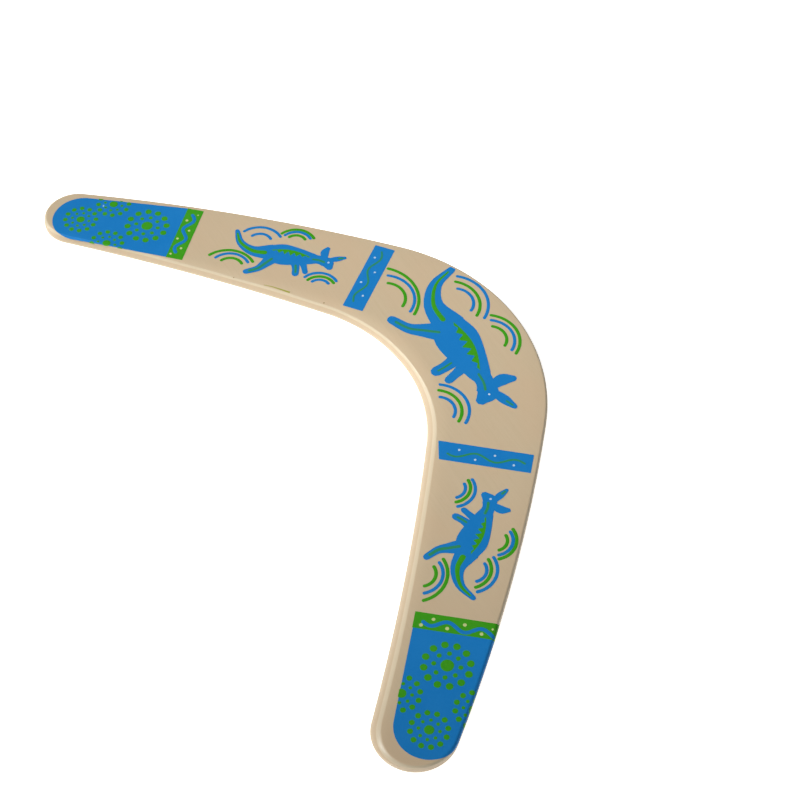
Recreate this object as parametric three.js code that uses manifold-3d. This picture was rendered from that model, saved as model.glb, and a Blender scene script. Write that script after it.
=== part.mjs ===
// A printed wooden boomerang: three plies of light wood glued crosswise, sawn to a wide V,
// bevelled along the inner edge and printed on its top face in two flat inks.
//
// Units are millimetres. +X runs along the span, +Y points out through the elbow and +Z is up.
// The origin is on the elbow's middle line, half-way up the depth, on the surface that the
// boomerang lies on.

import * as THREE from 'three';
import Module from 'manifold-3d';
import { mergeVertices } from 'three/addons/utils/BufferGeometryUtils.js';

const wasm = await Module();
wasm.setup();

// ---- Overall size -------------------------------------------------------------------------
const SPAN = 400;                 // tip to tip, as marked out
const DEPTH = 186;                // elbow to tips, along Y
const ELBOW_WIDTH = 66;           // wood across the elbow, on its middle line
const OUTER_ELBOW_RADIUS = 107;
const OUTER_EDGE_RADIUS = 980;    // the long, nearly straight outer edge of an arm
const INNER_EDGE_RADIUS = 1320;   // the same for the inner edge

// The arms are sawn and sanded by hand, so they differ: in the round of the tip, in how far the
// tip stops short of the marked span, in the curve from the elbow into the inner edge, and in
// the width of the bevel along that edge.
const ARMS = {
  left: { tipRadius: 17.15, short: 2.25, innerElbowRadius: 88, bevelWidth: 1.9 },
  right: { tipRadius: 19.9, short: 0, innerElbowRadius: 80, bevelWidth: 5.4 },
};

// ---- Plies --------------------------------------------------------------------------------
const FACE_PLY = 1.25;
const CORE_PLY = 2.5;
const THICKNESS = FACE_PLY + CORE_PLY + FACE_PLY;

// ---- Edges --------------------------------------------------------------------------------
const BEVEL_DROP = 4.7;           // how deep the bevel along the inner edge reaches
const BEVEL_ROUND = 1.3;          // 1 is a flat bevel and 2 is a quarter ellipse
const BEVEL_GROWS_FROM = -15;     // its width goes from the left arm's to the right arm's between
const BEVEL_GROWS_TO = 60;        // these distances from the elbow's middle line
const TIP_UNBEVELLED = 0.4;       // share of a tip's round, from the outer edge, without a bevel
const SHOULDER = 1.5;             // the small round of the outer edge
const UNDER_ROUND = 0.75;         // the small round of every lower edge
const ROUND = 2;

// ---- Print --------------------------------------------------------------------------------
const INK = 0.1;                  // thickness of a printed film
const PRINT_MARGIN = 0.4;         // least bare wood between a film and the start of an edge round

const BAND_WIDTH = 8.7;           // green band across the arm, at the elbow end of a tip panel
const BAND_LENGTH = 37.4;
const PANEL_GAP = 0.3;            // between the tip panel's ink and the band's
const PANEL_RADIUS = 16.7;        // of the panel's round end
const BAR_WIDTH = 10.8;
const BAR_LENGTH = 46;

// Where each arm's prints lie. A tip print is set from the middle of the round tip, along the
// arm, and its length runs from its band to the far end of its round. A bar is set from the elbow's
// middle line, so it stays clear of the elbow's figure. A figure lies at a share of the way from
// the band to the bar. All are set across the arm from its middle line, towards the outer edge,
// and turned in degrees from the arm's own heading. The two arms are printed a little apart, as
// a hand-fed press leaves them.
const ARM_PRINTS = {
  left: {
    tip: { along: 58, across: 0.3, turn: 1.7, length: 69.5 },
    bar: { fromMiddle: 59.5, across: 0.9, turn: -5.3 },
    figure: { share: 0.546, across: 1.2, turn: 1.2, scale: 1 },
  },
  right: {
    tip: { along: 49.1, across: 4.8, turn: -0.8, length: 63 },
    bar: { fromMiddle: 69.9, across: 1.8, turn: -1.8 },
    figure: { share: 0.496, across: 3, turn: 7.7, scale: 1.02 },
  },
};

// The elbow's figure: off the middle of the elbow, and its turn in degrees from +X.
const ELBOW_FIGURE = { x: 0.9, above: -2.1, turn: -8.5, scale: 1.57 };

// ---- Finishes -----------------------------------------------------------------------------
const wood = (color) => new THREE.MeshStandardMaterial({ color, roughness: 0.45, metalness: 0 });
const ink = (color) => new THREE.MeshStandardMaterial({ color, roughness: 0.4, metalness: 0 });
const FACE_WOOD = '#c8b494';
const CORE_WOOD = '#cfb78f';
const BLUE_INK = '#1e78be';
const GREEN_INK = '#3c961e';

// ---- Outline ------------------------------------------------------------------------------
// Half of the outline is five arcs that meet smoothly: outer elbow, outer edge, tip, inner edge
// and inner elbow. Each long edge is the circle that touches its elbow circle and the tip circle.

const vec = (x, y) => new THREE.Vector2(x, y);
const angleOf = (from, to) => Math.atan2(to.y - from.y, to.x - from.x);

// The point at given distances from two others, on the right-hand side of the line between them.
function meeting(a, distanceA, b, distanceB) {
  const gap = a.distanceTo(b);
  const along = (distanceA ** 2 - distanceB ** 2 + gap ** 2) / (2 * gap);
  const aside = Math.sqrt(distanceA ** 2 - along ** 2);
  const direction = b.clone().sub(a).divideScalar(gap);
  return vec(
    a.x + direction.x * along + direction.y * aside,
    a.y + direction.y * along - direction.x * aside,
  );
}

const outerElbow = vec(0, DEPTH / 2 - OUTER_ELBOW_RADIUS);

// An arm's circles and its own frame, worked out on the right: the frame starts at the middle of
// the round tip and heads for the middle of the root, which lies between the two places where the
// elbow's arcs begin.
function armShape({ tipRadius, short, innerElbowRadius }) {
  const tip = vec(SPAN / 2 - short - tipRadius, tipRadius - DEPTH / 2);
  const innerElbow = vec(0, DEPTH / 2 - ELBOW_WIDTH - innerElbowRadius);
  const outerEdge = meeting(
    outerElbow, OUTER_EDGE_RADIUS - OUTER_ELBOW_RADIUS, tip, OUTER_EDGE_RADIUS - tipRadius);
  const innerEdge = meeting(
    innerElbow, INNER_EDGE_RADIUS - innerElbowRadius, tip, INNER_EDGE_RADIUS + tipRadius);
  const onEdge = (edge, radius, other) => other.clone().sub(edge).setLength(radius).add(edge);
  const outerRoot = onEdge(outerEdge, OUTER_EDGE_RADIUS, outerElbow);
  const innerRoot = onEdge(innerEdge, INNER_EDGE_RADIUS, innerElbow);
  const heading = outerRoot.add(innerRoot).divideScalar(2).sub(tip).normalize();
  return {
    tip, tipRadius, innerElbow, innerElbowRadius, outerEdge, innerEdge, heading,
    outward: vec(heading.y, -heading.x),
    turn: THREE.MathUtils.radToDeg(Math.atan2(heading.y, -heading.x)),
  };
}

const arms = { left: armShape(ARMS.left), right: armShape(ARMS.right) };

// Points along an arc, each with its outward normal and how far it belongs to the inner edge,
// from 0 on the outer edge to 1 on the inner one. The last point is left to the next arc.
function arcPoints(centre, radius, from, to, steps, outward, inner) {
  return Array.from({ length: steps }, (_, i) => {
    const share = i / steps;
    const angle = from + (to - from) * share;
    const radial = vec(Math.cos(angle), Math.sin(angle));
    return {
      at: radial.clone().multiplyScalar(radius).add(centre),
      normal: radial.clone().multiplyScalar(outward),
      inner: THREE.MathUtils.smoothstep(inner(share), 0, 1),
    };
  });
}

// Half of the outline, from the top of the elbow round the arm to the elbow's inner middle.
function halfOutline({ tip, tipRadius, innerElbow, innerElbowRadius, outerEdge, innerEdge }) {
  const outerJoin = angleOf(outerEdge, outerElbow);
  const outerTip = angleOf(outerEdge, tip);
  const innerTip = angleOf(innerEdge, tip);
  const innerJoin = angleOf(innerEdge, innerElbow);
  const top = Math.PI / 2;
  const all = (value) => () => value;
  const fading = (share) => (share - TIP_UNBEVELLED) / (1 - TIP_UNBEVELLED);
  return [
    ...arcPoints(outerElbow, OUTER_ELBOW_RADIUS, top, outerJoin, 14, 1, all(0)),
    ...arcPoints(outerEdge, OUTER_EDGE_RADIUS, outerJoin, outerTip, 10, 1, all(0)),
    ...arcPoints(tip, tipRadius, outerTip, innerTip - Math.PI, 18, 1, fading),
    ...arcPoints(innerEdge, INNER_EDGE_RADIUS, innerTip, innerJoin, 20, -1, all(1)),
    ...arcPoints(innerElbow, innerElbowRadius, innerJoin, top, 14, -1, all(1)),
  ];
}

function outlinePoints() {
  const lowest = { at: vec(0, DEPTH / 2 - ELBOW_WIDTH), normal: vec(0, -1), inner: 1 };
  const mirrored = halfOutline(arms.left).slice(1).reverse().map(({ at, normal, inner }) => ({
    at: vec(-at.x, at.y), normal: vec(-normal.x, normal.y), inner,
  }));
  return [...halfOutline(arms.right), lowest, ...mirrored].reverse();   // counter-clockwise
}

const outline = outlinePoints();

// ---- Edge profile -------------------------------------------------------------------------
// How far the side lies inside the outline at a height: a rounded bevel above, as wide as the
// point's place and its share of the inner edge say, and a small round below.

function curveIn(width, drop, rest, power) {
  const share = Math.max(0, 1 - rest / drop);
  return width * (1 - (1 - share ** power) ** (1 / power));
}

function bevelWidth(x) {
  const grown = THREE.MathUtils.smoothstep(x, BEVEL_GROWS_FROM, BEVEL_GROWS_TO);
  return THREE.MathUtils.lerp(ARMS.left.bevelWidth, ARMS.right.bevelWidth, grown);
}

function inset({ at, inner }, height) {
  const mix = (outer, innerValue) => THREE.MathUtils.lerp(outer, innerValue, inner);
  const width = mix(SHOULDER, bevelWidth(at.x));
  const above = curveIn(width, mix(SHOULDER, BEVEL_DROP), THICKNESS - height, mix(ROUND, BEVEL_ROUND));
  const below = curveIn(UNDER_ROUND, UNDER_ROUND, height, ROUND);
  return Math.max(above, below);
}

const ringAt = (height) => outline.map((spot) => {
  const point = spot.at.clone().addScaledVector(spot.normal, -inset(spot, height));
  return [point.x, point.y, height];
});

// ---- Solids -------------------------------------------------------------------------------
function meshOf(name, geometry, material) {
  const mesh = new THREE.Mesh(geometry, material);
  mesh.name = name;
  return mesh;
}

// A ply is a stack of rings of the outline, closed by a flat cap below and above.
function ply(name, heights, color) {
  const count = outline.length;
  const rings = heights.map(ringAt);
  const faces = [];
  for (let level = 0; level + 1 < rings.length; level += 1) {
    for (let i = 0; i < count; i += 1) {
      const a = level * count + i;
      const b = level * count + (i + 1) % count;
      faces.push(a, b, b + count, a, b + count, a + count);
    }
  }
  const cap = (level) => {
    const flat = rings[level].map(([x, y]) => vec(x, y));
    return THREE.ShapeUtils.triangulateShape(flat, []);
  };
  cap(0).forEach(([a, b, c]) => faces.push(c, b, a));
  const last = rings.length - 1;
  cap(last).forEach((corner) => faces.push(...corner.map((i) => i + last * count)));
  const geometry = new THREE.BufferGeometry();
  geometry.setAttribute('position', new THREE.Float32BufferAttribute(rings.flat(2), 3));
  geometry.setIndex(faces);
  geometry.computeVertexNormals();
  return meshOf(name, geometry, wood(color));
}

// Heights between two levels, closer together where the edge curves most.
const levels = (low, high, shares) => shares.map((share) => THREE.MathUtils.lerp(low, high, share));

const bottomPly = ply('bottom_face_ply', levels(0, FACE_PLY, [0, 0.06, 0.2, 0.4, 0.6, 1]), FACE_WOOD);
const corePly = ply('core_ply', levels(FACE_PLY, FACE_PLY + CORE_PLY, [0, 0.3, 0.6, 0.8, 1]), CORE_WOOD);
const topPly = ply('top_face_ply',
  levels(FACE_PLY + CORE_PLY, THICKNESS, [0, 0.3, 0.55, 0.75, 0.9, 0.97, 1]), FACE_WOOD);

// ---- Print --------------------------------------------------------------------------------
// A print is drawn flat in its own frame, with u along its length, towards the elbow on an arm,
// and v towards the arm's outer edge. Its film lies on the top face.

// How far out from a point on the arm's axis the circle of an edge lies, taking the nearer way.
function edgeOffset(point, centre, radius, outward) {
  const towards = point.clone().sub(centre);
  const middle = -towards.dot(outward);
  const reach = Math.sqrt(middle ** 2 - towards.lengthSq() + radius ** 2);
  return Math.abs(middle + reach) < Math.abs(middle - reach) ? middle + reach : middle - reach;
}

function armPlace(side, along, { across, turn, scale }) {
  const arm = arms[side];
  const station = arm.tip.clone().addScaledVector(arm.heading, along);
  const outer = edgeOffset(station, arm.outerEdge, OUTER_EDGE_RADIUS, arm.outward);
  const inner = edgeOffset(station, arm.innerEdge, INNER_EDGE_RADIUS, arm.outward);
  const point = station.addScaledVector(arm.outward, (outer + inner) / 2 + across);
  const mirror = side === 'right';
  return { x: mirror ? point.x : -point.x, y: point.y, turn: arm.turn + turn, mirror, scale };
}

function placed(shape, place) {
  const turn = THREE.MathUtils.degToRad(place.turn);
  const side = place.mirror ? -1 : 1;
  const size = place.scale ?? 1;
  return shape.map(({ x: u, y: v }) => vec(
    place.x + side * size * (u * Math.cos(turn) - v * Math.sin(turn)),
    place.y + size * (u * Math.sin(turn) + v * Math.cos(turn)),
  ));
}

function filmGeometry(points, low = THICKNESS, thickness = INK) {
  const geometry = new THREE.ExtrudeGeometry(new THREE.Shape(points), {
    depth: thickness, bevelEnabled: false,
  });
  geometry.translate(0, 0, low);
  return geometry;
}

function solidOf(geometry) {
  const bare = geometry.clone();
  bare.deleteAttribute('normal');
  bare.deleteAttribute('uv');
  const merged = mergeVertices(bare);
  const mesh = new wasm.Mesh({
    numProp: 3,
    vertProperties: new Float32Array(merged.attributes.position.array),
    triVerts: new Uint32Array(merged.index.array),
  });
  return new wasm.Manifold(mesh);
}

function geometryOf(solid) {
  const { vertProperties, triVerts } = solid.getMesh();
  const geometry = new THREE.BufferGeometry();
  geometry.setAttribute('position', new THREE.BufferAttribute(vertProperties, 3));
  geometry.setIndex(new THREE.BufferAttribute(triVerts, 1));
  geometry.computeVertexNormals();
  return geometry;
}

// The part of the top face that is flat, less the print margin, as a tall prism that a film is
// trimmed to.
const flatPrism = solidOf(filmGeometry(
  outline.map((spot) =>
    spot.at.clone().addScaledVector(spot.normal, -inset(spot, THICKNESS) - PRINT_MARGIN)),
  0, 2 * THICKNESS));

function film(name, shapes, place, color) {
  const whole = shapes
    .map((shape) => solidOf(filmGeometry(placed(shape, place))))
    .reduce((joined, piece) => joined.add(piece));
  return meshOf(name, geometryOf(whole.intersect(flatPrism)), ink(color));
}

const rectangle = (fromU, toU, width) => [
  vec(fromU, -width / 2), vec(toU, -width / 2), vec(toU, width / 2), vec(fromU, width / 2),
];

// The tip panel runs from the band to a round end, with sides that touch the round.
function tipPanel(length) {
  const start = vec(-PANEL_GAP, BAND_LENGTH / 2);
  const centre = vec(PANEL_RADIUS - length, 0);
  const reach = start.distanceTo(centre);
  const touch = angleOf(centre, start) + Math.acos(PANEL_RADIUS / reach);
  const steps = 20;
  const round = Array.from({ length: steps + 1 }, (_, i) => {
    const angle = THREE.MathUtils.lerp(touch, 2 * Math.PI - touch, i / steps);
    return vec(centre.x + PANEL_RADIUS * Math.cos(angle), centre.y + PANEL_RADIUS * Math.sin(angle));
  });
  return [start, ...round, vec(start.x, -start.y)];
}

// A limb is a smooth line through points u, v with a radius at each, and round ends.
function limb(points) {
  const line = new THREE.CatmullRomCurve3(points.map(([u, v, radius]) => new THREE.Vector3(u, v, radius)));
  const steps = 4 * (points.length - 1);
  const samples = Array.from({ length: steps + 1 }, (_, i) => line.getPoint(i / steps));
  const headings = samples.map((_, i) => {
    const ahead = samples[Math.min(i + 1, steps)];
    const behind = samples[Math.max(i - 1, 0)];
    return Math.atan2(ahead.y - behind.y, ahead.x - behind.x);
  });
  const around = (i, angle) => vec(
    samples[i].x + samples[i].z * Math.cos(angle),
    samples[i].y + samples[i].z * Math.sin(angle),
  );
  const quarter = Math.PI / 2;
  const end = (i, from) => [1, 2, 3].map((step) => around(i, from + step * Math.PI / 4));
  return [
    ...samples.map((_, i) => around(i, headings[i] - quarter)),
    ...end(steps, headings[steps] - quarter),
    ...samples.map((_, i) => around(steps - i, headings[steps - i] + quarter)),
    ...end(0, headings[0] + quarter),
  ];
}

// A plain kangaroo in mid bound, head towards +u and back towards +v.
const FIGURE = [
  [[-29.5, 10.3, 1.3], [-25, 2.5, 2.2], [-17, -1.5, 3.4], [-7, 0, 5.6]],        // tail
  [[-8, -0.5, 5.6], [-1, 0, 7.4], [8, 0.5, 6], [16, 1, 3.8]],                   // body
  [[15, 1, 3.4], [20, 1.2, 3], [24, 0.2, 3.6], [26, -2.6, 2]],                  // neck and head
  [[24, 2, 1.2], [28.5, 4.2, 1.8], [32.2, 6, 1]],                               // front ear
  [[22, 2.5, 1.5], [20.8, 7, 2.3], [21.6, 10.2, 1.3]],                          // back ear
  [[-5, -3, 4.4], [-8, -9, 2.8], [-10.5, -13, 2.1], [-16, -16.8, 1.7]],         // hind leg
  [[7, -3, 2.6], [9, -8, 2], [9.8, -11.6, 1.9]],                                // near foreleg
  [[11, -2, 2.2], [13.2, -6.4, 1.6], [14.6, -9.2, 1.5]],                        // far foreleg
].map(limb);

const films = ['left', 'right'].flatMap((side) => {
  const prints = ARM_PRINTS[side];
  const { tip, heading } = arms[side];
  const barAlong = (tip.x - prints.bar.fromMiddle) / -heading.x;
  const figureAlong = THREE.MathUtils.lerp(
    prints.tip.along + BAND_WIDTH, barAlong - BAR_WIDTH / 2, prints.figure.share);
  const tipPlace = armPlace(side, prints.tip.along, prints.tip);
  const barPlace = armPlace(side, barAlong, prints.bar);
  const figurePlace = armPlace(side, figureAlong, prints.figure);
  return [
    film(`${side}_tip_print`, [tipPanel(prints.tip.length)], tipPlace, BLUE_INK),
    film(`${side}_band_print`, [rectangle(0, BAND_WIDTH, BAND_LENGTH)], tipPlace, GREEN_INK),
    film(`${side}_bar_print`, [rectangle(-BAR_WIDTH / 2, BAR_WIDTH / 2, BAR_LENGTH)], barPlace, BLUE_INK),
    film(`${side}_kangaroo_print`, FIGURE, figurePlace, BLUE_INK),
  ];
});
const elbowPlace = { ...ELBOW_FIGURE, y: DEPTH / 2 - ELBOW_WIDTH / 2 + ELBOW_FIGURE.above };
films.push(film('elbow_kangaroo_print', FIGURE, elbowPlace, BLUE_INK));

const boomerang = new THREE.Group();
boomerang.add(bottomPly, corePly, topPly, ...films);

export default boomerang;
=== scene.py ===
"""A printed wooden boomerang: three plies of light wood with a bevel along the inner edge, and a
blue and green print of kangaroos, rainbow arcs and dotted rosettes on its top face.

Lengths are in millimetres until mesh_of() turns them to metres. +X runs along the span, +Y out
through the elbow and +Z up from the surface that the boomerang lies on.
"""

import bmesh
import bpy
import numpy as np
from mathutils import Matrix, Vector


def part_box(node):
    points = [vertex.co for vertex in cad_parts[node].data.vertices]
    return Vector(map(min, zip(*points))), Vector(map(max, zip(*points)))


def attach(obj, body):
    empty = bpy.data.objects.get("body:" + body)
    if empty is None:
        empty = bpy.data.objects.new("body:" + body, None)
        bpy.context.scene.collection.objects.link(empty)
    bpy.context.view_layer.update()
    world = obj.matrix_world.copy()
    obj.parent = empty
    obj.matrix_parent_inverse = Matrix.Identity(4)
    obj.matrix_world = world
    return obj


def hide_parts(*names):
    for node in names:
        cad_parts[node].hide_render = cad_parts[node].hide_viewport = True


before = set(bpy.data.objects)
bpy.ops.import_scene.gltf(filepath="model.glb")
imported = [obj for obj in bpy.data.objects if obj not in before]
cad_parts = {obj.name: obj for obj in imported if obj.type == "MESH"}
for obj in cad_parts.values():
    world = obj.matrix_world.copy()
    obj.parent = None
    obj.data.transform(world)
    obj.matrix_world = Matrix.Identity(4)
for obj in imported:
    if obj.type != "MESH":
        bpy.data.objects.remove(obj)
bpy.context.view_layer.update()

MM = 0.001

# ---- Sizes of the board -------------------------------------------------------------------
SPAN = 400
DEPTH = 186
ELBOW_WIDTH = 66
OUTER_ELBOW_RADIUS = 107
OUTER_EDGE_RADIUS = 980
INNER_EDGE_RADIUS = 1320

CORE_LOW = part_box("core_ply")[0].z / MM
CORE_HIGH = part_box("core_ply")[1].z / MM
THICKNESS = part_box("top_face_ply")[1].z / MM

BEVEL_DROP = 4.7
BEVEL_ROUND = 1.3                 # its power: flatter than a circle, with a soft crest
BEVEL_GROWS = (-15, 60)           # its width goes from the left arm's to the right arm's here
TIP_UNBEVELLED = 0.4              # share of a tip's round, from the outer edge, without a bevel
SHOULDER = 1.5
UNDER_ROUND = 0.75
ROUND = 2                         # the power of a superellipse that is a circle
SANDING_WANDER = 0.22             # how far a hand-held sander lets the bevel's width stray

# ---- Sizes of the print -------------------------------------------------------------------
INK = 0.06                        # a first film of ink
OVER_LOW, OVER_HIGH = 0.04, 0.1   # a second film, pressed a little into the first
OVER_FILM = 0.06, 0.13            # ink over the frame's own films, which are 0.1 thick
SOFT_EDGE = 0.04                  # the round that wet ink takes along its border
BENDS = 35                        # degrees: a film or ply that turns less at an edge shades smooth

PANEL_RADIUS = 15.9
PANEL_LEAN = -3.1                 # how far off the middle line the panel's round end lies
BAR_WIDTH = 11.2
BAR_LENGTH = 46.4


# ---- Outline of the board -----------------------------------------------------------------
def smoothstep(value, low=0.0, high=1.0):
    """0 below low, 1 above high, and an S curve between them."""
    share = np.clip((value - low) / (high - low), 0, 1)
    return share * share * (3 - 2 * share)


def meeting(a, distance_a, b, distance_b):
    """The point at given distances from a and b, on the right of the line from a to b."""
    gap = np.hypot(*(b - a))
    along = (distance_a ** 2 - distance_b ** 2 + gap ** 2) / (2 * gap)
    aside = np.sqrt(distance_a ** 2 - along ** 2)
    direction = (b - a) / gap
    return a + direction * along + np.array([direction[1], -direction[0]]) * aside


def bearing(start, end):
    """The angle of the line from start to end."""
    return np.arctan2(end[1] - start[1], end[0] - start[0])


OUTER_ELBOW = np.array([0, DEPTH / 2 - OUTER_ELBOW_RADIUS])


class Arm:
    """The circles of one arm's outline, worked out on the right. The arms are sawn out and
    finished with a sander by hand, so they differ a little."""

    def __init__(self, tip_radius, short, inner_elbow_radius, bevel_width):
        self.tip_radius = tip_radius
        self.inner_elbow_radius = inner_elbow_radius
        self.bevel_width = bevel_width
        self.tip = np.array([SPAN / 2 - short - tip_radius, tip_radius - DEPTH / 2])
        self.inner_elbow = np.array([0, DEPTH / 2 - ELBOW_WIDTH - inner_elbow_radius])
        self.outer_edge = meeting(OUTER_ELBOW, OUTER_EDGE_RADIUS - OUTER_ELBOW_RADIUS,
                                  self.tip, OUTER_EDGE_RADIUS - tip_radius)
        self.inner_edge = meeting(self.inner_elbow, INNER_EDGE_RADIUS - inner_elbow_radius,
                                  self.tip, INNER_EDGE_RADIUS + tip_radius)
        self.outer_join = bearing(self.outer_edge, OUTER_ELBOW)
        self.inner_join = bearing(self.inner_edge, self.inner_elbow)
        self.outer_tip = bearing(self.outer_edge, self.tip)
        self.inner_tip = bearing(self.inner_edge, self.tip) - np.pi


LEFT = Arm(tip_radius=17.15, short=2.25, inner_elbow_radius=88, bevel_width=1.9)
RIGHT = Arm(tip_radius=19.9, short=0, inner_elbow_radius=80, bevel_width=5.4)


def arc(centre, radius, start, end, steps, outward=1):
    """Points centre + radius * (cos, sin) of an angle from start to end, and their normals."""
    angle = np.linspace(start, end, steps, endpoint=False)
    radial = np.stack([np.cos(angle), np.sin(angle)], axis=1)
    return centre + radius * radial, outward * radial


def half_edges(arm):
    """The outer and the inner edge from the elbow to the end of an arm's tip, as two matching
    rows of points, each with its normals and its share of the inner edge (0 outer, 1 inner)."""
    elbow_steps, edge_steps, tip_steps = 30, 44, 22
    middle = (arm.outer_tip + arm.inner_tip) / 2
    top = np.pi / 2
    end = arc(arm.tip, arm.tip_radius, middle, middle + 1, 1)
    outer = [
        arc(OUTER_ELBOW, OUTER_ELBOW_RADIUS, top, arm.outer_join, elbow_steps),
        arc(arm.outer_edge, OUTER_EDGE_RADIUS, arm.outer_join, arm.outer_tip, edge_steps),
        arc(arm.tip, arm.tip_radius, arm.outer_tip, middle, tip_steps),
        end,
    ]
    inner = [
        arc(arm.inner_elbow, arm.inner_elbow_radius, top, arm.inner_join, elbow_steps, -1),
        arc(arm.inner_edge, INNER_EDGE_RADIUS, arm.inner_join, arm.inner_tip + np.pi, edge_steps, -1),
        arc(arm.tip, arm.tip_radius, arm.inner_tip, middle, tip_steps),
        end,
    ]
    straight = elbow_steps + edge_steps
    round_share = np.linspace(0, 0.5, tip_steps + 1)
    outer_share = np.concatenate([np.zeros(straight), smoothstep(round_share, TIP_UNBEVELLED)])
    inner_share = np.concatenate([np.ones(straight), smoothstep(1 - round_share, TIP_UNBEVELLED)])
    rows = []
    for runs, share in ((outer, outer_share), (inner, inner_share)):
        points = np.concatenate([run[0] for run in runs])
        normals = np.concatenate([run[1] for run in runs])
        rows.append((points, normals, share))
    return rows


def whole_edge(left, right):
    """The edge from the left tip to the right tip: the left half mirrored and turned round, and
    then the right half."""
    mirror = np.array([-1, 1])
    return (np.concatenate([left[0][:0:-1] * mirror, right[0]]),
            np.concatenate([left[1][:0:-1] * mirror, right[1]]),
            np.concatenate([left[2][:0:-1], right[2]]))


# ---- Edge profile -------------------------------------------------------------------------
def blend(outer, inner, share):
    """The outer edge's value, the inner edge's value, or what lies between them."""
    return outer + (inner - outer) * share


def curve_in(width, drop, rest, power):
    """A superellipse quarter: how far a side has curved in at a distance rest from its flat."""
    share = np.clip(1 - rest / drop, 0, 1)
    return width * (1 - (1 - share ** power) ** (1 / power))


def bevel_width(x):
    """The width of the inner edge's bevel: narrow on the left arm and wide on the right."""
    return blend(LEFT.bevel_width, RIGHT.bevel_width, smoothstep(x, *BEVEL_GROWS))


def inset(x, share, height, wander=0.0):
    """How far the side lies inside the outline at a height: the bevel or the small shoulder
    above, and the small round below, whichever is more."""
    width = blend(SHOULDER, bevel_width(x) + wander, share)
    drop = blend(SHOULDER, BEVEL_DROP, share)
    above = curve_in(width, drop, THICKNESS - height, blend(ROUND, BEVEL_ROUND, share))
    return np.maximum(above, curve_in(UNDER_ROUND, UNDER_ROUND, height, ROUND))


def sanding(points):
    """Two slow waves along the edge, as a hand-held sander leaves them: sin(s / 17) and
    0.6 sin(s / 7.3 + 1), where s = x + 0.7 y."""
    along = points[:, 0] + 0.7 * points[:, 1]
    return SANDING_WANDER * (np.sin(along / 17) + 0.6 * np.sin(along / 7.3 + 1)) / 1.6


# ---- Meshes -------------------------------------------------------------------------------
def mesh_of(name, points, faces, material, stands_for=(), smooth_angle=15):
    """Makes a closed piece from points in millimetres, welds what meets, points its faces
    outwards and hands it to the frame."""
    data = bpy.data.meshes.new(name)
    data.from_pydata((np.asarray(points, float) * MM).tolist(), [], faces)
    shape = bmesh.new()
    shape.from_mesh(data)
    bmesh.ops.remove_doubles(shape, verts=shape.verts, dist=1e-7)
    bmesh.ops.dissolve_degenerate(shape, dist=1e-8, edges=shape.edges)
    bmesh.ops.recalc_face_normals(shape, faces=shape.faces)
    shape.to_mesh(data)
    shape.free()
    data.polygons.foreach_set("use_smooth", np.ones(len(data.polygons), bool))
    data.set_sharp_from_angle(angle=np.radians(smooth_angle))
    data.materials.append(material)
    piece = bpy.data.objects.new(name, data)
    bpy.context.scene.collection.objects.link(piece)
    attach(piece, "root")
    if stands_for:
        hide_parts(*stands_for)
    return piece


def tube_faces(rows, columns):
    """Quads of a grid whose columns close into a loop: a profile carried along a path."""
    row, column = np.meshgrid(np.arange(rows - 1), np.arange(columns), indexing="ij")
    after = (column + 1) % columns
    corners = [row * columns + column, row * columns + after,
               (row + 1) * columns + after, (row + 1) * columns + column]
    return np.stack(corners, axis=-1).reshape(-1, 4).tolist()


def ply(name, heights, material):
    """A ply of the board. Each rib runs up the outer side, across the top, down the inner side
    and back underneath, and the ribs follow the board from tip to tip. A rib's points lie inside
    the outline by the edge profile at their height."""
    outer, inner = (whole_edge(*halves) for halves in zip(half_edges(LEFT), half_edges(RIGHT)))
    sides = []
    for points, normals, share in (outer, inner):
        wander = sanding(points) * share
        depths = [inset(points[:, 0], share, height, wander) for height in heights]
        levels = [points - normals * depth[:, None] for depth in depths]
        sides.append(np.stack(levels, axis=1))
    across = np.linspace(0, 1, 9)[1:-1, None]

    def spread(start, end):
        return start[:, None] * (1 - across) + end[:, None] * across

    outer_side, inner_side = sides
    rib = np.concatenate([
        outer_side,
        spread(outer_side[:, -1], inner_side[:, -1]),
        inner_side[:, ::-1],
        spread(inner_side[:, 0], outer_side[:, 0]),
    ], axis=1)
    high, low = heights[-1], heights[0]
    rib_heights = np.concatenate([heights, [high] * len(across), heights[::-1], [low] * len(across)])
    rows, columns = rib.shape[:2]
    points = np.dstack([rib, np.broadcast_to(rib_heights, (rows, columns))])
    return mesh_of(name, points.reshape(-1, 3), tube_faces(rows, columns), material, [name], BENDS)


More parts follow.
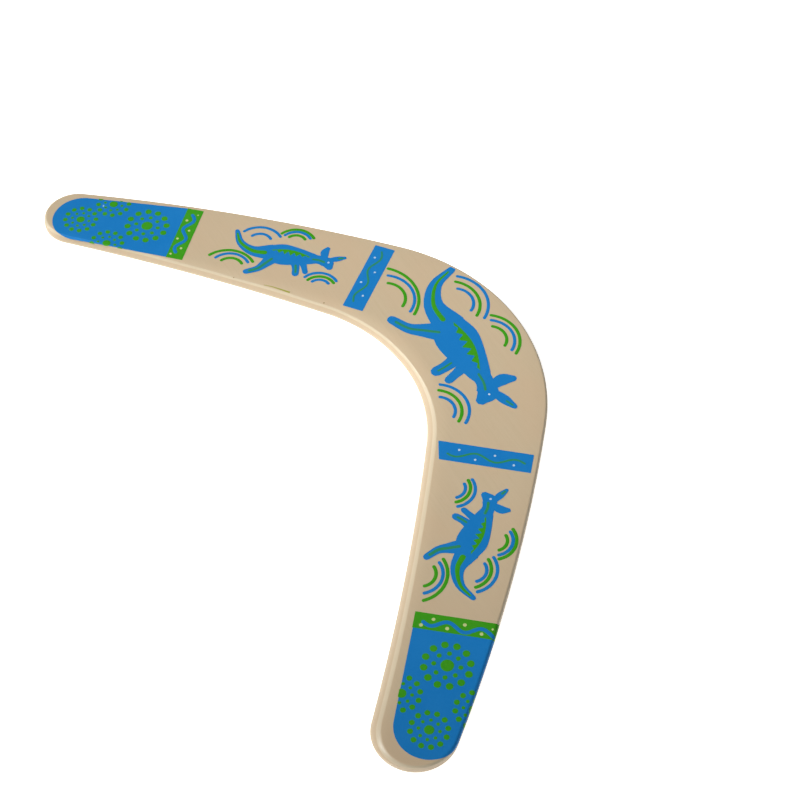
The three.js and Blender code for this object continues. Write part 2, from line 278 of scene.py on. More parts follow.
# ---- The print lies on the board ----------------------------------------------------------
def nearest_edge(arm, x, y):
    """For each point of an arm, worked out on the right: how far inside the outline it lies, the
    outline's normal there and its share of the inner edge. The nearest of the arm's five circles
    decides: an elbow circle counts above the place where it meets its long edge, and the tip's
    beyond its two."""
    point = np.stack([x, y], axis=-1)

    def measure(centre, radius, outward):
        ray = point - centre
        length = np.linalg.norm(ray, axis=-1)
        angle = np.arctan2(ray[:, 1], ray[:, 0])
        return np.column_stack([outward * (radius - length), outward * ray / length[:, None]]), angle

    outer_elbow, outer_angle = measure(OUTER_ELBOW, OUTER_ELBOW_RADIUS, 1)
    inner_elbow, inner_angle = measure(arm.inner_elbow, arm.inner_elbow_radius, -1)
    outer_edge, _ = measure(arm.outer_edge, OUTER_EDGE_RADIUS, 1)
    inner_edge, _ = measure(arm.inner_edge, INNER_EDGE_RADIUS, -1)
    tip_round, tip_angle = measure(arm.tip, arm.tip_radius, 1)
    outer = np.where((outer_angle > arm.outer_join)[:, None], outer_elbow, outer_edge)
    inner = np.where((inner_angle > arm.inner_join)[:, None], inner_elbow, inner_edge)
    round_share = (arm.outer_tip - tip_angle) / (arm.outer_tip - arm.inner_tip)
    on_tip = (round_share > 0) & (round_share < 1) & (x > arm.tip[0] - arm.tip_radius)
    on_outer = outer[:, 0] < inner[:, 0]
    found = np.where(on_tip[:, None], tip_round, np.where(on_outer[:, None], outer, inner))
    share = np.where(on_tip, smoothstep(round_share, TIP_UNBEVELLED), np.where(on_outer, 0.0, 1.0))
    return np.column_stack([found, share])


def laid(points):
    """Lays a flat print on the board. Points are x, y and the height above the wood. Over the
    flat it stays where it is. Past the start of the shoulder it bends over the round, keeping
    its length, and then runs down the side."""
    x, y, lift = points.T
    on_left = nearest_edge(LEFT, -x, y) * np.array([1, -1, 1, 1])
    depth, *normal, share = np.where((x < 0)[:, None], on_left, nearest_edge(RIGHT, x, y)).T
    normal = np.stack(normal, axis=1)
    width = blend(SHOULDER, bevel_width(x), share)
    drop = blend(SHOULDER, BEVEL_DROP, share)
    radius = (width + drop) / 2
    past = np.maximum(width - depth, 0)
    turn = np.minimum(past / radius, np.pi / 2)
    down_side = np.maximum(past - radius * np.pi / 2, 0)
    inside = width * (1 - np.sin(turn)) - lift * np.sin(turn)
    flat = past <= 0
    moved = np.stack([x, y], axis=1) + normal * (depth - inside)[:, None]
    place = np.where(flat[:, None], np.stack([x, y], axis=1), moved)
    height = THICKNESS - drop * (1 - np.cos(turn)) - down_side + lift * np.cos(turn)
    return np.column_stack([place, np.where(flat, THICKNESS + lift, height)])


class Place:
    """Where a print's own frame lies: u along its length and v towards the outer edge, turned by
    an angle in degrees. The right arm's prints are mirrored."""

    def __init__(self, x, y, turn, scale=1.0, mirror=False):
        angle = np.radians(turn)
        side = -1 if mirror else 1
        self.origin = np.array([x, y])
        self.along = scale * np.array([side * np.cos(angle), np.sin(angle)])
        self.across = scale * np.array([-side * np.sin(angle), np.cos(angle)])
        self.scale = scale

    def put(self, shapes, low=0.0, high=INK):
        """Turns flat shapes into films between two heights on the board."""
        points = []
        faces = []
        for flat, own_faces in shapes:
            u, v, level = flat.T
            spot = self.origin + u[:, None] * self.along + v[:, None] * self.across
            lift = low + (high - low) * level
            start = sum(len(done) for done in points)
            points.append(laid(np.column_stack([spot, lift])))
            faces += [[corner + start for corner in face] for face in own_faces]
        return np.concatenate(points), faces


# ---- Flat shapes --------------------------------------------------------------------------
# A shape is its points, as u, v and a level from 0 (on the wood) to 1 (the top of the ink), and
# its faces.
def patch(outline):
    """A filled outline: its ring at the bottom, the ring again most of the way up, and the ring
    drawn in a little at the top, closed by one flat face above and one below."""
    outline = np.asarray(outline, float)
    ahead = np.roll(outline, -1, axis=0) - np.roll(outline, 1, axis=0)
    ahead /= np.maximum(np.linalg.norm(ahead, axis=1), 1e-6)[:, None]
    area = np.sum(outline[:, 0] * np.roll(outline[:, 1], -1)
                  - outline[:, 1] * np.roll(outline[:, 0], -1))
    inward = np.sign(area) * np.stack([-ahead[:, 1], ahead[:, 0]], axis=1)
    rings = [(outline, 0), (outline, 0.7), (outline + SOFT_EDGE * inward, 1)]
    count = len(outline)
    points = np.concatenate([np.column_stack([ring, np.full(count, level)]) for ring, level in rings])
    faces = tube_faces(len(rings), count)
    faces.append(list(range(count))[::-1])
    faces.append(list(range(2 * count, 3 * count)))
    return points, faces


STROKE_STEP = 0.45                # between the sections of a line of ink


def stroke(path, half_width):
    """A line of ink with round ends: a low rounded section carried along a path. The section is
    as wide as half_width says, and shrinks as a circle does over the last half-width at each
    end."""
    path = np.asarray(path, float)
    steps = np.linalg.norm(np.diff(path, axis=0), axis=1)
    reach = np.concatenate([[0], np.cumsum(steps)])
    widths = np.broadcast_to(np.asarray(half_width, float), (len(path),))
    cap = widths[0], widths[-1]
    round_in = 1 - np.cos(np.linspace(0, np.pi / 2, 6))
    stations = np.unique(np.concatenate([
        cap[0] * round_in,
        np.linspace(cap[0], reach[-1] - cap[1], max(2, int(reach[-1] / STROKE_STEP))),
        reach[-1] - cap[1] * round_in,
    ]))
    line = np.stack([np.interp(stations, reach, path[:, axis]) for axis in (0, 1)], axis=1)
    ahead = np.gradient(line, axis=0)
    ahead /= np.linalg.norm(ahead, axis=1)[:, None]
    aside = np.stack([-ahead[:, 1], ahead[:, 0]], axis=1)
    width = np.interp(stations, reach, widths)
    for gap, end in ((stations, cap[0]), (reach[-1] - stations, cap[1])):
        short = np.clip(1 - gap / end, 0, 1)
        width = width * np.sqrt(1 - short ** 2)
    section = np.array([[-1, 0], [-1, 0.6], [-0.86, 1], [0.86, 1], [1, 0.6], [1, 0]])
    spots = line[:, None] + (width[:, None] * section[:, 0])[..., None] * aside[:, None]
    levels = np.broadcast_to(section[:, 1], spots.shape[:2])
    points = np.dstack([spots, levels]).reshape(-1, 3)
    return points, tube_faces(len(line), len(section))


def between(low, high, shares):
    """A film between two borders with matching points: each rib crosses from one to the other
    on top, at the given shares of the way, and back underneath."""
    ribs = low[:, None] * (1 - shares[:, None]) + high[:, None] * shares[:, None]
    loop = np.concatenate([ribs, ribs[:, ::-1]], axis=1)
    levels = np.broadcast_to(np.repeat([1, 0], len(shares)), loop.shape[:2])
    points = np.dstack([loop, levels]).reshape(-1, 3)
    rows, columns = loop.shape[:2]
    faces = tube_faces(rows, columns)
    faces.append(list(range(columns))[::-1])
    faces.append(list(range((rows - 1) * columns, rows * columns)))
    return points, faces


def through(points, per_step=5):
    """A smooth curve through the points: Catmull-Rom, a cubic in each step whose slope at a
    point is half the way between its two neighbours."""
    points = np.asarray(points, float)
    padded = np.concatenate([[2 * points[0] - points[1]], points, [2 * points[-1] - points[-2]]])
    before, start, end, after = padded[:-3], padded[1:-2], padded[2:-1], padded[3:]
    t = np.linspace(0, 1, per_step, endpoint=False)[:, None, None]
    curve = 0.5 * (2 * start + (end - before) * t
                   + (2 * before - 5 * start + 4 * end - after) * t ** 2
                   + (3 * start - before - 3 * end + after) * t ** 3)
    return np.concatenate([curve.transpose(1, 0, 2).reshape(-1, 2), points[-1:]])


def disc(u, v, radius, sides=20):
    """A round outline."""
    angle = np.linspace(0, 2 * np.pi, sides, endpoint=False)
    return np.stack([u + radius * np.cos(angle), v + radius * np.sin(angle)], axis=1)


def arch(left, top, right):
    """The circular arc from left to right whose middle reaches the height of top."""
    left, right = np.asarray(left, float), np.asarray(right, float)
    middle = (left + right) / 2
    chord = right - left
    length = np.hypot(*chord)
    up = np.array([-chord[1], chord[0]]) / length
    rise = np.dot(np.asarray(top) - middle, up)
    radius = (rise ** 2 + (length / 2) ** 2) / (2 * rise)
    centre = middle + up * (rise - radius)
    start, end = bearing(centre, left), bearing(centre, right)
    if end > start:
        end -= 2 * np.pi
    angle = np.linspace(start, end, 30)
    return centre + radius * np.stack([np.cos(angle), np.sin(angle)], axis=1)


# ---- The kangaroo -------------------------------------------------------------------------
# A plain bounding kangaroo, head towards +u and back towards +v. Its body is the frame's own
# film of rounded limbs, and the green on it follows those limbs.
def toothed_stripe(start=-8.0, end=15.0, teeth=7):
    """A stripe along the back, with t from 0 at the rump to 1 at the shoulder. Its upper border
    is v = 1.6 + 2.6 sin(pi t), and its lower one lies under that by a third to the whole of
    4.2 sin(pi t), in even teeth."""
    t = np.linspace(0.02, 0.98, 10 * teeth + 1)
    u = start + (end - start) * t
    high = 1.6 + 2.6 * np.sin(np.pi * t)
    tooth = 1 - np.abs(2 * ((teeth * t) % 1) - 1)
    low = high - 4.2 * np.sin(np.pi * t) * (1 + 2 * tooth) / 3
    return between(np.stack([u, low], axis=1), np.stack([u, high], axis=1), np.linspace(0, 1, 3))


# Lines along the middle of the limbs: a curve, and its half-width on the board at each end.
# They are as thick on the small figures as on the large one.
TAIL_LINE = ([(-29, 9), (-25, 2.6), (-17, -1.5), (-9, -1)], 0.5, 1.5)
LIMB_LINES = [
    ([(-5, -4), (-8, -9), (-10.5, -13), (-15, -16.2)], 0.8, 0.8),
    ([(15.5, 0.6), (19.5, 0.8), (23, 0)], 0.7, 0.7),
    ([(8.2, -5.4), (9.2, -8.5), (9.8, -11.2)], 0.6, 0.6),
    ([(29, 4.4), (31.8, 5.8)], 0.6, 0.5),
]
EYE = (24.8, 0.5)
EYE_RADIUS = 0.6                  # on the board


# Rainbow arcs round the figure: left end, top and right end of each, from the outermost in.
ARC_HALF_WIDTH = 0.86             # on the board, whatever the figure's size
ARCS = {
    "behind_foot": [("green", (-38.2, -10), (-26.8, -4.1), (-15.2, -9.4)),
                    ("blue", (-35.2, -11.2), (-26, -5.6), (-16.9, -10.2)),
                    ("green", (-32, -12.5), (-25.9, -8.6), (-20, -11.7))],
    "over_tail": [("blue", (-26.2, 10.4), (-15.7, 16.5), (-5.1, 11.5)),
                  ("green", (-24.2, 8.9), (-16, 13.7), (-7, 9.6)),
                  ("blue", (-21, 8.3), (-15.5, 11.7), (-9.8, 8.7))],
    "over_back": [("green", (-6, 14), (3.4, 19.7), (12.7, 15)),
                  ("blue", (-4, 13.2), (3.9, 18), (10.9, 14.3)),
                  ("green", (-1.4, 12.5), (3.7, 15.5), (8.3, 13))],
    "under_chin": [("blue", (15, -13), (24.3, -7.1), (32.9, -11.4)),
                   ("green", (17, -14.3), (24.3, -9.6), (31.5, -13.2)),
                   ("blue", (19.7, -15), (24.6, -11.7), (29.3, -14))],
}
SMALL_ARCS = ARCS | {
    "behind_foot": [("green", (-38.9, -10.9), (-25.9, -3.9), (-14, -9.8)),
                    ("blue", (-35.1, -11.9), (-25.8, -6.1), (-16.4, -10.9)),
                    ("green", (-31.5, -13.1), (-25.2, -9.3), (-19.4, -12.5))],
    "under_chin": [("blue", (15.1, -13.3), (24.6, -7.5), (33, -11.8)),
                   ("green", (17.2, -14.9), (24.7, -10), (32, -13.5)),
                   ("blue", (19.8, -15.4), (25, -12.3), (29.4, -14.5))],
}


# ---- Finishes -----------------------------------------------------------------------------
def linear(code):
    """An sRGB hex colour as linear red, green, blue and alpha."""
    shares = np.array([int(code[i:i + 2], 16) for i in (1, 3, 5)]) / 255
    light = np.where(shares <= 0.04045, shares / 12.92, ((shares + 0.055) / 1.055) ** 2.4)
    return (*light, 1.0)


def add(tree, kind, inputs=None, **settings):
    """Adds a node with its settings. Each input, by name or number, gets a value or a link."""
    made = tree.nodes.new(kind)
    for key, value in settings.items():
        setattr(made, key, value)
    for socket, value in (inputs or {}).items():
        if isinstance(value, bpy.types.NodeSocket):
            tree.links.new(value, made.inputs[socket])
        else:
            made.inputs[socket].default_value = value
    return made


def material(name, shader):
    """A new material with a Principled shader and its node tree."""
    made = bpy.data.materials.new(name)
    made.use_nodes = True
    principled = made.node_tree.nodes["Principled BSDF"]
    for socket, value in shader.items():
        principled.inputs[socket].default_value = value
    return made, made.node_tree, principled


# A colour Mix node's inputs and its output go by number, because several share a name.
SHARE, FIRST, SECOND, MIXED = 0, 6, 7, 2


def per_mm(*lengths):
    """The Mapping scale that makes a noise's grain as long as these lengths in millimetres."""
    return tuple(1 / (length * MM) for length in lengths)


PORE = "#8f7552"


def lacquered_wood(name, light, dark, blush, bevel_painted_light, fibre, pore, coat):
    """Rotary-cut light veneer under a thin clear lacquer. fibre and pore are the grain's length,
    width and depth in millimetres: long soft streaks, short dark pores, and slow blotches two or
    three centimetres across. Where a bevel leans, a cooler colour is painted in, as painted light
    that stands in for the light the bevel catches."""
    made, tree, shader = material(name, {"IOR": 1.5, "Coat Weight": coat, "Coat Roughness": 0.28})
    place = add(tree, "ShaderNodeTexCoord").outputs["Object"]
    along = add(tree, "ShaderNodeMapping", {"Vector": place, "Scale": per_mm(*fibre)})
    streak = add(tree, "ShaderNodeTexNoise", {"Vector": along.outputs[0], "Scale": 1, "Detail": 4,
                                              "Roughness": 0.6, "Distortion": 0.6})
    short = add(tree, "ShaderNodeMapping", {"Vector": place, "Scale": per_mm(*pore)})
    speck = add(tree, "ShaderNodeTexNoise", {"Vector": short.outputs[0], "Scale": 1, "Detail": 1})
    slow = add(tree, "ShaderNodeMapping", {"Vector": place, "Scale": per_mm(34, 22, 22)})
    cloud = add(tree, "ShaderNodeTexNoise", {"Vector": slow.outputs[0], "Scale": 1, "Detail": 2})
    streak_share = add(tree, "ShaderNodeMapRange",
                       {"Value": streak.outputs["Fac"], "From Min": 0.3, "From Max": 0.72})
    base = add(tree, "ShaderNodeMix", {SHARE: streak_share.outputs[0], FIRST: linear(light),
                                       SECOND: linear(dark)}, data_type="RGBA")
    cloud_share = add(tree, "ShaderNodeMapRange",
                      {"Value": cloud.outputs["Fac"], "From Min": 0.4, "From Max": 0.68,
                       "To Min": 0.0, "To Max": 0.75})
    tinted = add(tree, "ShaderNodeMix", {SHARE: cloud_share.outputs[0], FIRST: base.outputs[MIXED],
                                         SECOND: linear(blush)}, data_type="RGBA")
    pore_share = add(tree, "ShaderNodeMapRange",
                     {"Value": speck.outputs["Fac"], "From Min": 0.66, "From Max": 0.78,
                      "To Min": 0.0, "To Max": 0.1})
    pored = add(tree, "ShaderNodeMix", {SHARE: pore_share.outputs[0], FIRST: tinted.outputs[MIXED],
                                        SECOND: linear(PORE)}, data_type="RGBA")
    # the flat faces look up or down, and a bevel leans: on the bevel a cooler colour is painted in, as
    # painted light for the light that the bevel catches
    facing = add(tree, "ShaderNodeSeparateXYZ", {0: add(tree, "ShaderNodeTexCoord").outputs["Normal"]})
    level = add(tree, "ShaderNodeMath", {0: facing.outputs["Z"]}, operation="ABSOLUTE")
    slope = add(tree, "ShaderNodeMapRange",
                {"Value": level.outputs[0], "From Min": 0.985, "From Max": 0.9})
    painted_bevel_light = add(tree, "ShaderNodeMix", {SHARE: slope.outputs[0], FIRST: pored.outputs[MIXED],
                                         SECOND: linear(bevel_painted_light)}, data_type="RGBA")
    tree.links.new(painted_bevel_light.outputs[MIXED], shader.inputs["Base Color"])
    gloss = add(tree, "ShaderNodeMapRange",
                {"Value": streak.outputs["Fac"], "To Min": 0.4, "To Max": 0.5})
    tree.links.new(gloss.outputs[0], shader.inputs["Roughness"])
    relief = add(tree, "ShaderNodeBump", {"Height": streak.outputs["Fac"], "Strength": 0.1,
                                          "Distance": 0.04 * MM})
    tree.links.new(relief.outputs[0], shader.inputs["Normal"])
    return made


def screen_ink(name, full, thin):
    """Screen-printing ink on lacquered wood: an even, slightly satin film. Its density drifts
    slowly, over about 16 mm, and shows a fine mottle, and the wood's grain lifts it a little."""
    made, tree, shader = material(name, {"Specular IOR Level": 0.15})
    place = add(tree, "ShaderNodeTexCoord").outputs["Object"]
    slow = add(tree, "ShaderNodeMapping", {"Vector": place, "Scale": per_mm(16, 16, 16)})
    drift = add(tree, "ShaderNodeTexNoise", {"Vector": slow.outputs[0], "Scale": 1, "Detail": 2})
    fine = add(tree, "ShaderNodeMapping", {"Vector": place, "Scale": per_mm(0.9, 0.9, 0.9)})
    mottle = add(tree, "ShaderNodeTexNoise", {"Vector": fine.outputs[0], "Scale": 1, "Detail": 3})
    both = add(tree, "ShaderNodeMath", {0: drift.outputs["Fac"], 1: mottle.outputs["Fac"]})
    share = add(tree, "ShaderNodeMapRange",
                {"Value": both.outputs[0], "From Min": 0.75, "From Max": 1.3})
    colour = add(tree, "ShaderNodeMix", {SHARE: share.outputs[0], FIRST: linear(full),
                                         SECOND: linear(thin)}, data_type="RGBA")
    tree.links.new(colour.outputs[MIXED], shader.inputs["Base Color"])
    gloss = add(tree, "ShaderNodeMapRange",
                {"Value": mottle.outputs["Fac"], "To Min": 0.45, "To Max": 0.57})
    tree.links.new(gloss.outputs[0], shader.inputs["Roughness"])
    along = add(tree, "ShaderNodeMapping", {"Vector": place, "Scale": per_mm(36, 1.1, 1.1)})
    grain = add(tree, "ShaderNodeTexNoise", {"Vector": along.outputs[0], "Scale": 1, "Detail": 3})
    relief = add(tree, "ShaderNodeBump", {"Height": grain.outputs["Fac"], "Strength": 0.2,
                                          "Distance": 0.03 * MM})
    tree.links.new(relief.outputs[0], shader.inputs["Normal"])
    return made


# Rotary-cut basswood face veneer: pale cream with a faint long grain that runs along the span.
# Its bevel colour is painted light: a cooler tone for the light that the bevel catches.
FACE_VENEER = lacquered_wood("lacquered_basswood_veneer", light="#c9b596", dark="#c5b191",
                             blush="#c9b191", bevel_painted_light="#c3b498",
                             fibre=(46, 1.1, 1.1), pore=(5, 0.35, 0.35), coat=0.15)
# Rotary-cut core veneer laid across the faces: tanner, and seen on its cut edge.
# Its bevel colour is painted light too.
CORE_VENEER = lacquered_wood("sanded_poplar_core_veneer", light="#bba98c", dark="#ae9a7b",
                             blush="#b5a283", bevel_painted_light="#b9a486",
                             fibre=(0.8, 30, 0.8), pore=(0.3, 4, 0.3), coat=0.1)
BLUE_INK = screen_ink("blue_screen_ink", "#1276bd", "#1a7ac0")
GREEN_INK = screen_ink("green_screen_ink", "#379412", "#3f991c")
# Thin green lines over blue: the film is scant there and the blue shows through it.
THIN_GREEN = screen_ink("thin_green_ink_over_blue", "#2f8a4e", "#2c8466")
WHITE_INK = screen_ink("white_screen_ink", "#b9d0e0", "#a9c6dc")
CREAM_INK = screen_ink("cream_screen_ink", "#c4d08f", "#b7c680")
# A smear of the green ink, rubbed thin over the wood, which turns it yellow.
SMEARED_INK = screen_ink("smeared_green_ink", "#8f9a2e", "#a89c52")
# A pin knot: a tight speck of dark resin in the veneer.
KNOT = screen_ink("pin_knot_resin", "#7a5a2c", "#8a6a3a")


# ---- The board ----------------------------------------------------------------------------
def rise(low, high, shares):
    """Heights between two levels, at the given shares of the way."""
    return low + (high - low) * np.asarray(shares)


# The levels lie closest where the side curves most.
ply("bottom_face_ply", rise(0, CORE_LOW, [0, 0.03, 0.09, 0.18, 0.3, 0.45, 0.6, 0.8, 1]),
    FACE_VENEER)
ply("core_ply", rise(CORE_LOW, CORE_HIGH, np.linspace(0, 1, 9)), CORE_VENEER)
ply("top_face_ply",
    rise(CORE_HIGH, THICKNESS, [0, 0.15, 0.3, 0.45, 0.6, 0.72, 0.83, 0.91, 0.96, 0.99, 1]),
    FACE_VENEER)


# ---- The figures --------------------------------------------------------------------------
def ink_line(place, path, start, end):
    """A line through points, whose half-width on the board goes from start to end."""
    curve = through(path)
    return stroke(curve, np.linspace(start, end, len(curve)) / place.scale)


def kangaroo(name, place, node):
    """Blue ink on the frame's kangaroo film, and the green stripe and lines printed over it."""
    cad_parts[node].material_slots[0].material = BLUE_INK
    points, faces = place.put([toothed_stripe(), ink_line(place, *TAIL_LINE)], *OVER_FILM)
    mesh_of(f"{name}_kangaroo_green_stripe", points, faces, GREEN_INK)
    points, faces = place.put([ink_line(place, *line) for line in LIMB_LINES], *OVER_FILM)
    mesh_of(f"{name}_kangaroo_green_lines", points, faces, THIN_GREEN)


def arcs(name, place, groups, left_out=()):
    """The rainbow arcs of one figure, each ink in a piece of its own."""
    for ink, finish in (("blue", BLUE_INK), ("green", GREEN_INK)):
        lines = []
        for group, bows in groups.items():
            for colour, left, top, right in bows:
                if colour == ink and (group, colour) not in left_out:
                    lines.append(stroke(arch(left, top, right), ARC_HALF_WIDTH / place.scale))
        points, faces = place.put(lines)
        mesh_of(f"{name}_{ink}_arcs", points, faces, finish)


def eyes(name, place, spots):
    """Small round eyes of white ink."""
    points, faces = place.put([patch(disc(*spot)) for spot in spots], *OVER_FILM)
    mesh_of(f"{name}_kangaroo_eyes", points, faces, WHITE_INK)


FIGURES = {
    "left": Place(-97, 8.6, 45),
    "elbow": Place(0.9, 57.9, -8.5, 1.57),
    "right": Place(109.9, -0.4, 50.5, 1.02, mirror=True),
}
for figure, figure_place in FIGURES.items():
    kangaroo(figure, figure_place, f"{figure}_kangaroo_print")
    # the left arm's tail arcs were printed without their green middle
    arcs(figure, figure_place, ARCS if figure == "elbow" else SMALL_ARCS,
         [("over_tail", "green")] if figure == "left" else [])
    eyes(figure, figure_place, [(*EYE, EYE_RADIUS / figure_place.scale)])


# ---- Bars ---------------------------------------------------------------------------------
BAR_CORNER = 0.5
BAR_WAVE_HALF_WIDTH = 0.55
BAR_DOT_RADIUS = 0.62
BAR_DOTS = [(-2.5, 14.4), (1.5, 4.5), (-2.7, -4.6), (1.8, -13.2)]


def wave(middle, swing, crest, length, start, end, drift=0.0):
    """A wavy line along v: u = middle + drift * v + swing * cos(2 pi (v - crest) / length)."""
    v = np.linspace(start, end, 90)
    u = middle + drift * v + swing * np.cos(2 * np.pi * (v - crest) / length)
    return np.stack([u, v], axis=1)


def rounded_box(half_u, half_v, radius, steps=5):
    """A rectangle's outline with round corners."""
    outline = []
    for corner, (sign_u, sign_v) in enumerate([(1, 1), (-1, 1), (-1, -1), (1, -1)]):
        angle = np.linspace(0, np.pi / 2, steps) + corner * np.pi / 2
        centre = np.array([sign_u * (half_u - radius), sign_v * (half_v - radius)])
        outline.append(centre + radius * np.stack([np.cos(angle), np.sin(angle)], axis=1))
    return np.concatenate(outline)


def bar(side, place, skew):
    """A blue bar across the arm, with a green wavy line and four white dots. Its inner end is cut
    askew: one corner is longer by skew, and the other shorter."""
    outline = rounded_box(BAR_WIDTH / 2, BAR_LENGTH / 2, BAR_CORNER)
    inner_end = outline[:, 1] < 0
    outline[inner_end, 1] -= skew * outline[inner_end, 0] / (BAR_WIDTH / 2)
    points, faces = place.put([patch(outline)])
    mesh_of(f"{side}_bar", points, faces, BLUE_INK, [f"{side}_bar_print"])
    path = wave(middle=-0.8, swing=1.75, crest=15, length=19.8, start=-19, end=20)
    line = stroke(path, BAR_WAVE_HALF_WIDTH)
    points, faces = place.put([line], OVER_LOW, OVER_HIGH)
    mesh_of(f"{side}_bar_wave", points, faces, THIN_GREEN)
    dots = [patch(disc(u, v, BAR_DOT_RADIUS)) for u, v in BAR_DOTS]
    points, faces = place.put(dots, OVER_LOW, OVER_HIGH)
    mesh_of(f"{side}_bar_dots", points, faces, WHITE_INK)


bar("left", Place(-59.6, 39.9, 38.5), skew=0)
bar("right", Place(71.6, 30.6, 41, mirror=True), skew=1.1)


# ---- Tips ---------------------------------------------------------------------------------
BAND_WAVE_HALF_WIDTH = 0.95
DOTS_OVERHANG = 0.35              # how far a cut rosette dot reaches past the panel's border
DOT_LEFT_OUT = 0.6                # share of its radius by which a dot left out lies past it


def panel_borders(length, halves, overhang=0.0):
    """The two long borders of a tip panel: straight from its start until they touch its round
    end, and then round to the far end. halves are its half-widths where it starts, towards the
    inner and the outer edge. overhang widens it all round."""
    centre = np.array([PANEL_RADIUS - length, PANEL_LEAN])
    radius = PANEL_RADIUS + overhang
    borders = []
    for sign, half in zip((-1, 1), halves):
        corner = np.array([0, sign * (half + overhang)])
        reach = np.hypot(*(corner - centre))
        touch = bearing(centre, corner) + sign * np.arccos(radius / reach)
        angle = np.linspace(touch, sign * np.pi, 26)
        turn = centre + radius * np.stack([np.cos(angle), np.sin(angle)], axis=1)
        share = np.linspace(0, 1, 24, endpoint=False)[:, None]
        borders.append(np.concatenate([corner * (1 - share) + turn[0] * share, turn]))
    return borders


def round_dot(u, v, radius, borders, sides=24):
    """A round film, cut off where it crosses two borders, given as rows of points along -u. Its
    top is a fan of rings, each the outline drawn towards its middle by a share, so that it
    follows a curved panel."""
    shares = np.array([1, 1, 0.97, 0.7, 0.4, 0.12])
    levels = np.array([0, 0.7, 1, 1, 1, 1])
    outline = disc(u, v, radius, sides)
    low, high = (np.interp(outline[:, 0], border[::-1, 0], border[::-1, 1]) for border in borders)
    outline[:, 1] = np.clip(outline[:, 1], low, high)
    middle = outline.mean(axis=0)
    rings = middle + shares[:, None, None] * (outline - middle)
    points = np.dstack([rings, np.broadcast_to(levels[:, None], rings.shape[:2])]).reshape(-1, 3)
    faces = tube_faces(len(shares), sides)
    faces.append(list(range(sides))[::-1])
    faces.append(list(range(len(points) - sides, len(points))))
    return points, faces


BIG_ROSETTE = {"heart": 3.1, "inner": (8, 6.15, 1.15, 90), "outer": (12, 10.6, 1.75, 15)}
SMALL_ROSETTE = {"heart": 2.3, "inner": (8, 4.8, 0.85, 90), "outer": (12, 8.35, 1.35, 15)}


def rosette(centre, heart, inner, outer):
    """Discs of a rosette: a heart, and two rings of dots. A ring is its number of dots, its
    radius, the dots' radius and the angle of the first one."""
    u, v = centre
    discs = [(u, v, heart)]
    for count, radius, dot, first in (inner, outer):
        angle = np.radians(first + 360 / count * np.arange(count))
        discs += [(u + radius * np.cos(a), v + radius * np.sin(a), dot) for a in angle]
    return discs


def tip(side, place, length, halves, band, rosettes, wavy, dots):
    """A tip's print: a blue panel with green rosettes, cut off where its border cuts them, and a
    green band with a blue wavy line and cream dots. band is its width and how far its ends stand
    out past the panel, wavy is what wave() takes, and each dot is u, v and its radius."""
    low, high = panel_borders(length, halves)
    shares = np.concatenate([np.linspace(0, 0.1, 6), np.linspace(0.1, 0.86, 12)[1:],
                             np.linspace(0.86, 1, 14)[1:]])
    points, faces = place.put([between(low, high, shares)])
    mesh_of(f"{side}_tip_panel", points, faces, BLUE_INK, [f"{side}_tip_print"], BENDS)

    borders = panel_borders(length, halves, DOTS_OVERHANG)
    shapes = []
    for index, centre in enumerate(rosettes):
        kind = BIG_ROSETTE if index == 0 else SMALL_ROSETTE
        for u, v, radius in rosette(centre, **kind):
            low_v, high_v = (np.interp(u, border[::-1, 0], border[::-1, 1]) for border in borders)
            reach = DOT_LEFT_OUT * radius
            if low_v - reach < v < high_v + reach:
                shapes.append(round_dot(u, v, radius, borders))
    points, faces = place.put(shapes, OVER_LOW, OVER_HIGH)
    mesh_of(f"{side}_tip_rosettes", points, faces, GREEN_INK)

    width, stands_out = band
    u = np.linspace(0, width, 4)[::-1]
    edges = [np.stack([u, np.full(4, sign * (half + stands_out))], axis=1)
             for sign, half in zip((-1, 1), halves)]
    points, faces = place.put([between(*edges, shares)])
    mesh_of(f"{side}_tip_band", points, faces, GREEN_INK, [f"{side}_band_print"], BENDS)
    points, faces = place.put([stroke(wave(*wavy), BAND_WAVE_HALF_WIDTH)], OVER_LOW, OVER_HIGH)
    mesh_of(f"{side}_band_wave", points, faces, BLUE_INK)
    points, faces = place.put([patch(disc(*dot)) for dot in dots], OVER_LOW, OVER_HIGH)
    mesh_of(f"{side}_band_dots", points, faces, CREAM_INK)


tip("left", Place(-140.7, -33.7, 45.5), length=69.5, halves=(18.6, 18.6), band=(9.2, 0.1),
    rosettes=[(-17.3, 0.6), (-54, -3.7), (-40.5, 11.6), (-34.2, -17)],
    wavy=(4.4, 1.9, 10.5, 14.3, -14.8, 15),
    dots=[(7.1, 15, 0.45), (2.4, 9.8, 0.8), (6, 2.8, 0.7), (1.8, -4.3, 0.7), (6, -10.7, 0.7),
          (1.8, -15.8, 0.65)])
tip("right", Place(149, -34.4, 40.5, mirror=True), length=63.8, halves=(19, 20.6), band=(8.7, 0.3),
    rosettes=[(-16.6, -0.4), (-49.5, -3), (-36.2, 14.8), (-34, -18.1)],
    wavy=(3.5, 1.8, 12.2, 15.8, -15.5, 18.8, -0.05),
    dots=[(5.4, 16.9, 0.55), (2.1, 12.3, 0.85), (5.5, 4.1, 0.9), (2.2, -3.5, 0.9),
          (5.9, -10.4, 0.85), (2, -15.5, 0.9)])


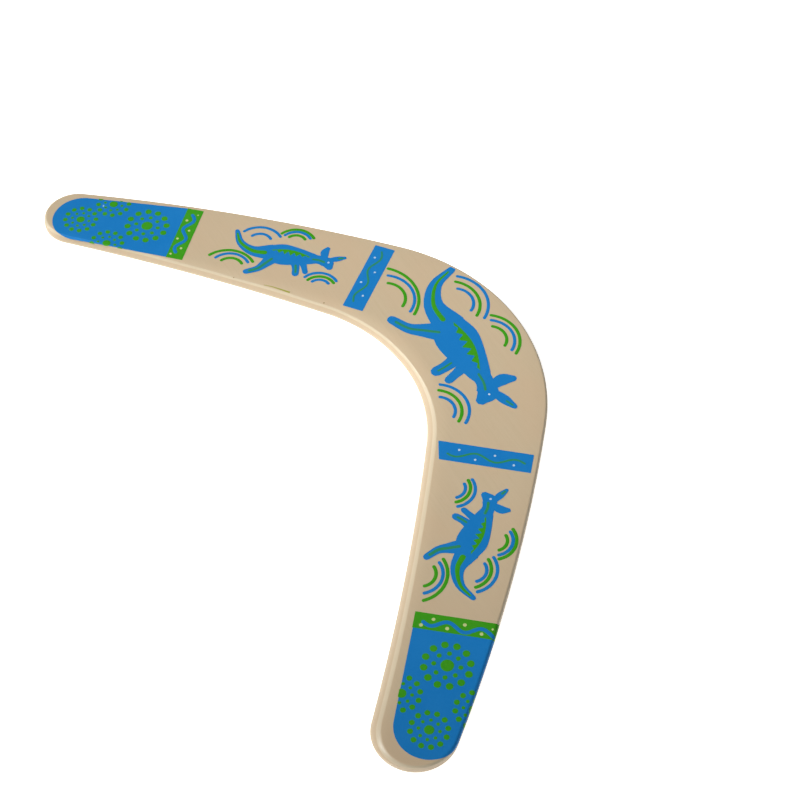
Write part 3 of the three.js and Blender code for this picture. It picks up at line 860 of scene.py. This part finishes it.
# ---- Small marks --------------------------------------------------------------------------
def marks():
    """What the hand and the wood left: two pin knots, a smear of yellow-green ink along the left
    arm's inner edge, and a fleck of white in the left tip's panel."""
    board = Place(0, 0, 0)
    points, faces = board.put([patch(disc(-55.9, 10.6, 0.4, 9)), patch(disc(-95.6, -22.2, 0.35, 7))])
    mesh_of("pin_knots", points, faces, KNOT)
    smear = through([(-83, -10.7), (-79.6, -7.4), (-75.6, -4.4), (-71.4, -1.3)])
    points, faces = board.put([stroke(smear, np.linspace(0.15, 0.5, len(smear)))])
    mesh_of("ink_smear", points, faces, SMEARED_INK)
    fleck = through([(-179.5, -59.3), (-179, -59.9), (-178.4, -60.2)])
    points, faces = board.put([stroke(fleck, 0.2)], OVER_LOW, OVER_HIGH)
    mesh_of("ink_fleck", points, faces, WHITE_INK)


marks()


# ---- Studio -------------------------------------------------------------------------------
def floor():
    """A plain pale floor under the boomerang: a sheet of white acrylic lit softly from below, so
    that hardly a shadow shows on it. Seen from below it is clear, so the underside shows."""
    half = 6000
    clearance = 0.3               # so that the floor and the underside don't fight
    data = bpy.data.meshes.new("floor")
    square = np.array([(-half, -half), (half, -half), (half, half), (-half, half)])
    data.from_pydata((np.column_stack([square, [-clearance] * 4]) * MM).tolist(), [], [(0, 1, 2, 3)])
    made = bpy.data.materials.new("lit_white_acrylic")
    made.use_nodes = True
    shader = made.node_tree.nodes["Principled BSDF"]
    shader.inputs["Base Color"].default_value = linear("#f6f5f3")
    shader.inputs["Roughness"].default_value = 0.9
    shader.inputs["Emission Color"].default_value = linear("#ffffff")
    shader.inputs["Emission Strength"].default_value = 0.82
    tree = made.node_tree
    back = add(tree, "ShaderNodeNewGeometry").outputs["Backfacing"]
    clear = add(tree, "ShaderNodeBsdfTransparent").outputs[0]
    one_sided = add(tree, "ShaderNodeMixShader", {0: back, 1: shader.outputs[0], 2: clear})
    tree.links.new(one_sided.outputs[0], tree.nodes["Material Output"].inputs["Surface"])
    data.materials.append(made)
    piece = bpy.data.objects.new("floor", data)
    bpy.context.scene.collection.objects.link(piece)


def aimed(thing, place, target):
    """Puts a camera or light at a place, looking at a target, both in millimetres."""
    made = bpy.data.objects.new(thing.name, thing)
    bpy.context.scene.collection.objects.link(made)
    start, end = (Vector(point) * MM for point in (place, target))
    made.location = start
    made.rotation_euler = (end - start).to_track_quat("-Z", "Y").to_euler()
    return made


def softbox(name, place, target, size, watts, spread=180):
    """A square studio softbox, its side in millimetres. A grid on its front narrows its spread,
    in degrees."""
    light = bpy.data.lights.new(name, "AREA")
    light.size = size * MM
    light.energy = watts
    light.spread = np.radians(spread)
    aimed(light, place, target)


def studio():
    """The floor, soft light from both sides of the front, and the camera."""
    floor()
    softbox("key_softbox", (-500, -700, 800), target=(0, 160, 0), size=600, watts=1.7, spread=40)
    softbox("fill_softbox", (650, -900, 500), target=(-60, 60, 0), size=700, watts=2)
    world = bpy.data.worlds.new("studio")
    world.use_nodes = True
    tree = world.node_tree
    dim = tree.nodes["Background"]
    dim.inputs["Color"].default_value = (1, 1, 1, 1)
    dim.inputs["Strength"].default_value = 0.19
    # past the floor's far edge the eye sees a wall as white as the floor
    seen = add(tree, "ShaderNodeBackground", {"Color": (1, 1, 1, 1), "Strength": 1.0}).outputs[0]
    direct = add(tree, "ShaderNodeLightPath").outputs["Is Camera Ray"]
    wall = add(tree, "ShaderNodeMixShader", {0: direct, 1: dim.outputs[0], 2: seen})
    tree.links.new(wall.outputs[0], tree.nodes["World Output"].inputs["Surface"])
    bpy.context.scene.world = world
    bpy.context.scene.view_settings.view_transform = "Standard"

    lens = bpy.data.cameras.new("camera")
    lens.lens = 78.75
    lens.sensor_width = 36
    lens.clip_end = 20            # metres
    aim = Vector((20.05, 12.43, 5))
    way = Vector((0.5355, -0.3121, 0.7848)).normalized()
    distance = 876
    bpy.context.scene.camera = aimed(lens, aim + distance * way, aim)


studio()
